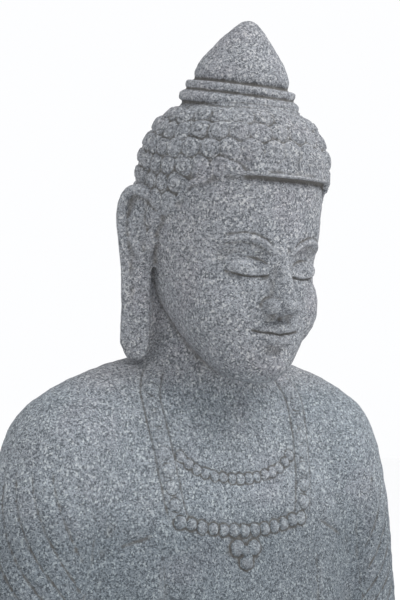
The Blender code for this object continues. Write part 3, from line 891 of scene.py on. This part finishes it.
points = points_of(statue)
local = head_local(points)
x, y, z = local.T
side = np.abs(x)
facing = step(50, 62, -y) * (z > -10) * (z < 170)
t = (side - EYE[0]) / 19.5
arch = np.sqrt(np.clip(1 - t**2, 0, 1))
within = 1 - step(0.84, 1.04, np.abs(t))
slit = 97 - 3.2 * (1 - t**2) + 0.8 * t
d = z - slit
push = within * (1.5 * (1 - step(-0.7, 0.5, d)) * np.exp(np.clip(d, -20, 0) / 4.5))
push -= within * (1.6 * step(-0.5, 0.7, d) * np.exp(-np.clip(d, 0, 20) / 4))
push += within * 1.8 * bell(d + 0.8, 1.2)
push += within * 1.6 * bell(z - (100 + 10.5 * arch), 1.4)
push += within * 0.9 * bell(z - (slit - 5.2 * arch - 0.5), 1.5)
ridge = brow_height(x) + 1
push -= 2.6 * bell(z - ridge, 2.4) * step(6, 14, side) * (1 - step(52, 66, side))
push += 1.3 * bell(z - ridge - 4.5, 1.8) * step(8, 16, side) * (1 - step(50, 62, side))
push += 1.2 * bell(z - ridge + 4.5, 2) * step(8, 16, side) * (1 - step(50, 62, side))
parting = 41.5 - 1.6 * bell(side, 5) + 1.2 * step(14, 28, side)
push += 3.2 * bell(z - parting, 1.3) * (1 - step(21, 28, side)) * step(60, 70, -y)
push += 1.4 * bell(side - 25.5, 2.6) * bell(z - 43, 3.2)
push += (1.0 * bell(side, 2.2) - 0.6 * bell(side - 4.4, 1.7)) * step(50, 53, z) * (1 - step(56, 59, z))
local[:, 1] += push * facing
wing = np.hypot(side - 12.4, z - 66)
local[:, 1] += 1.2 * bell(wing - 8.6, 1.3) * step(-2, 3, z - 64) * (side > 9) * facing
move_points(statue, head_place(*local))

NOSTRIL = (6, -101, 58)
local = head_local(points_of(statue))
local[:, 0] = np.abs(local[:, 0])
lift = -2.2 * bell(np.linalg.norm(local - NOSTRIL, axis=1), 3)
move_points(statue, points_of(statue) + normals_of(statue) * (lift * PART)[:, None])


# The carving of the curls
# Each curl is a low dome whose lower edge stands out furthest, with a spiral
# cut into it from the rim to the middle.

DOME = 4.3
SPIRAL_PITCH = 4.8
SPIRAL_DEPTH = 1.35
EDGE_GROOVE = 2.4


def curl_axes(normal):
    """Across, up the head and outwards for one curl."""
    side = np.cross(normal, (0, 0, 1))
    side /= np.linalg.norm(side)
    return np.stack([side, np.cross(normal, side), normal], 1)


points, normals = points_of(statue), normals_of(statue)
x, y, z = head_local(points).T
edge = z - hairline(np.arctan2(x, 8 - y))
chosen = np.nonzero((edge > -12) & (z < 262) & (z > 15))[0]
on_hair = [hair_surface.find_nearest(Vector(points[i]))[3] < 1.6 * PART for i in chosen]
chosen = chosen[np.array(on_hair)]
flat_points = in_parts(points[chosen])
places = np.array([place + normal * HAIR_LIFT for place, normal in curls])
axes = np.array([curl_axes(normal) for _, normal in curls])
number, _ = nearest_of(places, flat_points)
away = np.einsum("ij,ijk->ik", flat_points - places[number], axes[number])
across, up, out = away.T
radius = np.hypot(across, up)
hands = np.random.default_rng(3).choice([-1, 1], len(curls))
starts = np.random.default_rng(4).uniform(0, 2 * math.pi, len(curls))
turn = np.arctan2(up, across) * hands[number] + starts[number]
spiral = step(0.1, 0.95, np.cos(2 * math.pi * radius / SPIRAL_PITCH - turn))
x, y, z = x[chosen], y[chosen], z[chosen]
scalloped = step(*SCALLOPED, -x) * step(-30, 10, -y)
rim = step(0.43 * CURL, 0.52 * CURL, radius)
inside = np.maximum(step(2, 4.5, edge[chosen]), scalloped * (1 - rim))
inside *= np.einsum("ij,ij->i", normals[chosen], axes[number, :, 2]) > 0.45
inside *= 1 - step(8, 12, np.abs(out))
dome = DOME * (1 - np.clip(radius / (0.56 * CURL), 0, 1) ** 2.8) - 0.11 * up
cut = SPIRAL_DEPTH * spiral * (1 - rim) * step(0.8, 2.2, radius)
wear = np.array([noise.noise(p * 28) + 0.6 * noise.noise(p * 75) for p in map(Vector, points[chosen])])
left = np.clip(0.85 - 0.75 * wear, 0.35, 1.1)
lift = np.zeros(len(points))
lift[chosen] = inside * ((dome - cut) * left - 1 + 1.6 * (1 - left))

# The skin is cut in close under the clean edge, which throws a dark line there
x, y, z = head_local(points).T
under = bell(edge + 1.7, 1.6) * (edge < 0.5)
lift -= EDGE_GROOVE * under * (1 - step(*SCALLOPED, -x)) * step(20, 40, -y)
move_points(statue, points + normals * (lift * PART)[:, None])


# The grooves between the rings
# A narrow groove runs round under the finial, between the two rings and under
# the lower one, where it meets the hair.

GROOVES = [(277.3, 1.5, 1.5), (267, 1.2, 1.4), (253.5, 1.5, 1.6)]

points = points_of(statue)
x, y, height = ((head_local(points) - (0, 0, CROWN_TIP)) @ crown_turn + (0, 0, CROWN_TIP)).T
lift = np.zeros(len(points))
for level, depth, width in GROOVES:
    lift -= depth * bell(height - level, width) * (np.hypot(x, y) < 64)
move_points(statue, points + normals_of(statue) * (lift * PART)[:, None])


# The finished surface
# Chance spikes are rubbed off, the depth of every hollow is kept for the painted shade and weathering,
# the skin is thinned where it is plain, and the block is sawn off level.

TRIANGLES = 196000
SPIKE = 1.0

fine = in_fine_carving(statue)
average = averager(statue)
points = points_of(statue)
for _ in range(2):
    level = average(points)
    spikes = np.linalg.norm(level - points, axis=1) > np.where(fine, SPIKE, 2 * SPIKE) * PART
    points[spikes] = level[spikes]
move_points(statue, points)

normals = normals_of(statue)
smooth = points.copy()
for rounds in range(1, 61):
    moving = fine if rounds % 4 else slice(None)
    smooth[moving] = average(smooth)[moving]
    # Hollow depths at two scales, which the material uses for painted shade and weathering
    if rounds in (12, 60):
        values = np.einsum("ij,ij->i", smooth - points, normals) / PART
        name = "hollow" if rounds == 12 else "broad_hollow"
        statue.data.attributes.new(name, "FLOAT", "POINT").data.foreach_set("value", values)

total = sum(len(p.vertices) - 2 for p in statue.data.polygons)
fewer = statue.modifiers.new("fewer", "DECIMATE")
fewer.ratio = TRIANGLES / total
fewer.use_collapse_triangulate = True
apply_modifiers(statue)

mesh = bmesh.new()
mesh.from_mesh(statue.data)
for vert in mesh.verts:
    if abs(vert.co.z) < 0.0015:
        vert.co.z = 0
everything = mesh.verts[:] + mesh.edges[:] + mesh.faces[:]
ground, upwards = (0, 0, 0), (0, 0, 1)
bmesh.ops.bisect_plane(mesh, geom=everything, dist=1e-6, plane_co=ground, plane_no=upwards, clear_inner=True)
bmesh.ops.contextual_create(mesh, geom=[e for e in mesh.edges if e.is_boundary])
bmesh.ops.triangulate(mesh, faces=[f for f in mesh.faces if len(f.verts) > 3])
mesh.to_mesh(statue.data)
mesh.free()
statue.data.shade_smooth()


# The granite
# A middle grey stone of mixed pale and dark crystals, about a millimetre
# across, tooled and left rough, with brown weathering and painted shade in its hollows.

def granite():
    made = bpy.data.materials.new("granite")
    made.use_nodes = True
    nodes, links = made.node_tree.nodes, made.node_tree.links
    shader = nodes["Principled BSDF"]
    shader.inputs["Roughness"].default_value = 0.9
    shader.inputs["Specular IOR Level"].default_value = 0.25
    place = nodes.new("ShaderNodeTexCoord").outputs["Object"]

    def noise_of(scale, detail=2, roughness=0.5):
        node = nodes.new("ShaderNodeTexNoise")
        links.new(place, node.inputs["Vector"])
        node.inputs["Scale"].default_value = scale
        node.inputs["Detail"].default_value = detail
        node.inputs["Roughness"].default_value = roughness
        return node.outputs["Fac"]

    def curve(value, low, high, to_low=0, to_high=1):
        node = nodes.new("ShaderNodeMapRange")
        links.new(value, node.inputs["Value"])
        node.inputs["From Min"].default_value = low
        node.inputs["From Max"].default_value = high
        node.inputs["To Min"].default_value = to_low
        node.inputs["To Max"].default_value = to_high
        return node.outputs["Result"]

    def mix(fac, first, second, kind="MIX"):
        node = nodes.new("ShaderNodeMix")
        node.data_type = "RGBA"
        node.blend_type = kind
        for number, value in ((0, fac), (6, first), (7, second)):
            if isinstance(value, tuple):
                node.inputs[number].default_value = (*value, 1)
            elif isinstance(value, (int, float)):
                node.inputs[number].default_value = value
            else:
                links.new(value, node.inputs[number])
        return node.outputs[2]

    def crystals(scale):
        node = nodes.new("ShaderNodeTexVoronoi")
        links.new(place, node.inputs["Vector"])
        node.inputs["Scale"].default_value = scale
        split = nodes.new("ShaderNodeSeparateColor")
        links.new(node.outputs["Color"], split.inputs["Color"])
        return split.outputs

    def height(low, high):
        node = nodes.new("ShaderNodeSeparateXYZ")
        links.new(place, node.inputs[0])
        low, high = (float(parts((0, 0, level))[0, 2]) for level in (low, high))
        return curve(node.outputs["Z"], low, high)

    def hollow(name):
        node = nodes.new("ShaderNodeAttribute")
        node.attribute_name = name
        return node.outputs["Fac"]

    # The crystals: a mixed ground with black mica and pale feldspar in it
    small, large = crystals(960), crystals(560)
    colour = mix(small[0], (0.150, 0.158, 0.176), (0.42, 0.435, 0.46))
    colour = mix(curve(large[1], 0.80, 0.86, 0, 0.8), colour, (0.085, 0.090, 0.100))
    colour = mix(curve(small[1], 0.84, 0.90, 0, 0.85), colour, (0.055, 0.060, 0.070))
    colour = mix(curve(large[2], 0.86, 0.92, 0, 0.7), colour, (0.60, 0.605, 0.61))
    darker = mix(0.5, colour, (0.10, 0.105, 0.115))
    colour = mix(curve(noise_of(1250, 2, 0.6), 0.35, 0.65), colour, darker)

    # The head is warmer in tint than the body, and painted shade darkens the chest towards the lap
    colour = mix(height(560, 585), mix(1, colour, (0.92, 0.975, 0.995), "MULTIPLY"), colour)
    # Painted shade: the lower chest and everything below it are darkened
    colour = mix(height(470, 425), colour, mix(1, colour, (0.70, 0.72, 0.73), "MULTIPLY"))

    # Slow changes of tint over the block, then weathering and painted shade in the hollows, and a paler tone
    # on ridges
    colour = mix(curve(noise_of(9, 3, 0.55), 0.40, 0.62, 0, 0.30), colour, (0.90, 0.97, 1.0), "MULTIPLY")
    colour = mix(curve(noise_of(16, 4, 0.6), 0.52, 0.66, 0, 0.35), colour, (1.0, 0.93, 0.95), "MULTIPLY")
    colour = mix(curve(noise_of(24, 5, 0.65), 0.45, 0.75, 0, 0.30), colour, (0.70, 0.72, 0.72), "MULTIPLY")
    # Weathering and painted shade: the fine hollows and carved lines are darkened brown-black
    colour = mix(curve(hollow("hollow"), 0.12, 0.75, 0, 0.74), colour, (0.072, 0.068, 0.062))
    # Painted shade: broad recesses, such as between the arm and the chest, are darkened
    colour = mix(curve(hollow("broad_hollow"), 0.3, 2.5, 0, 0.5), colour, (0.115, 0.108, 0.100))
    colour = mix(curve(hollow("hollow"), -0.15, -0.9, 0, 0.25), colour, (0.40, 0.41, 0.43))
    links.new(colour, shader.inputs["Base Color"])

    bump = nodes.new("ShaderNodeBump")
    bump.inputs["Strength"].default_value = 0.6
    bump.inputs["Distance"].default_value = 0.0009
    links.new(curve(noise_of(620, 4, 0.65), 0.25, 0.75), bump.inputs["Height"])
    links.new(bump.outputs["Normal"], shader.inputs["Normal"])
    return made


statue.data.materials.append(granite())
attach(statue, "root")
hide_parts("seated_buddha")


# The floor and the light
# A plain white floor, an even white sky and one broad soft lamp high in front.

def plain(name, colour, roughness):
    made = bpy.data.materials.new(name)
    made.use_nodes = True
    shader = made.node_tree.nodes["Principled BSDF"]
    shader.inputs["Base Color"].default_value = (*colour, 1)
    shader.inputs["Roughness"].default_value = roughness
    return made


mesh = bmesh.new()
bmesh.ops.create_circle(mesh, cap_ends=True, segments=96, radius=30)
data = bpy.data.meshes.new("floor")
mesh.to_mesh(data)
mesh.free()
floor = bpy.data.objects.new("floor", data)
bpy.context.scene.collection.objects.link(floor)
floor.data.materials.append(plain("floor", (0.98, 0.98, 0.98), 0.9))

world = bpy.data.worlds.new("studio")
bpy.context.scene.world = world
world.use_nodes = True
sky = world.node_tree.nodes["Background"]
sky.inputs["Color"].default_value = (0.985, 0.99, 1.0, 1)
sky.inputs["Strength"].default_value = 1.0

lamp_data = bpy.data.lights.new("soft lamp", "AREA")
lamp_data.shape = "DISK"
lamp_data.size = 2.0
lamp_data.energy = 70
lamp = bpy.data.objects.new("soft lamp", lamp_data)
bpy.context.scene.collection.objects.link(lamp)
lamp.location = (0.7, -1.8, 3.1)
lamp.rotation_mode = "QUATERNION"
lamp.rotation_quaternion = (Vector((0, 0, 0.7)) - lamp.location).to_track_quat("-Z", "Y")
bpy.context.scene.view_settings.view_transform = "Standard"


# The camera
# At chest height, off the figure's right shoulder, looking a little upwards.

CAMERA_SWING = math.radians(-34)
CAMERA_DISTANCE = 1.6
CAMERA_HEIGHT = 0.604
LOOK_HEIGHT = 0.731
SIDE_STEP = -0.005

camera_data = bpy.data.cameras.new("camera")
camera_data.sensor_fit = "VERTICAL"
camera_data.sensor_height = 36
camera_data.lens = 36 * 1600 / 600
camera = bpy.data.objects.new("camera", camera_data)
bpy.context.scene.collection.objects.link(camera)
swing = Vector((math.sin(CAMERA_SWING), -math.cos(CAMERA_SWING), 0))
right = Vector((math.cos(CAMERA_SWING), math.sin(CAMERA_SWING), 0))
camera.location = swing * CAMERA_DISTANCE + right * SIDE_STEP + Vector((0, SEAT_BACK, CAMERA_HEIGHT))
tilt = math.atan((LOOK_HEIGHT - CAMERA_HEIGHT) / CAMERA_DISTANCE)
camera.rotation_euler = (math.radians(90) + tilt, 0, CAMERA_SWING)
bpy.context.scene.camera = camera
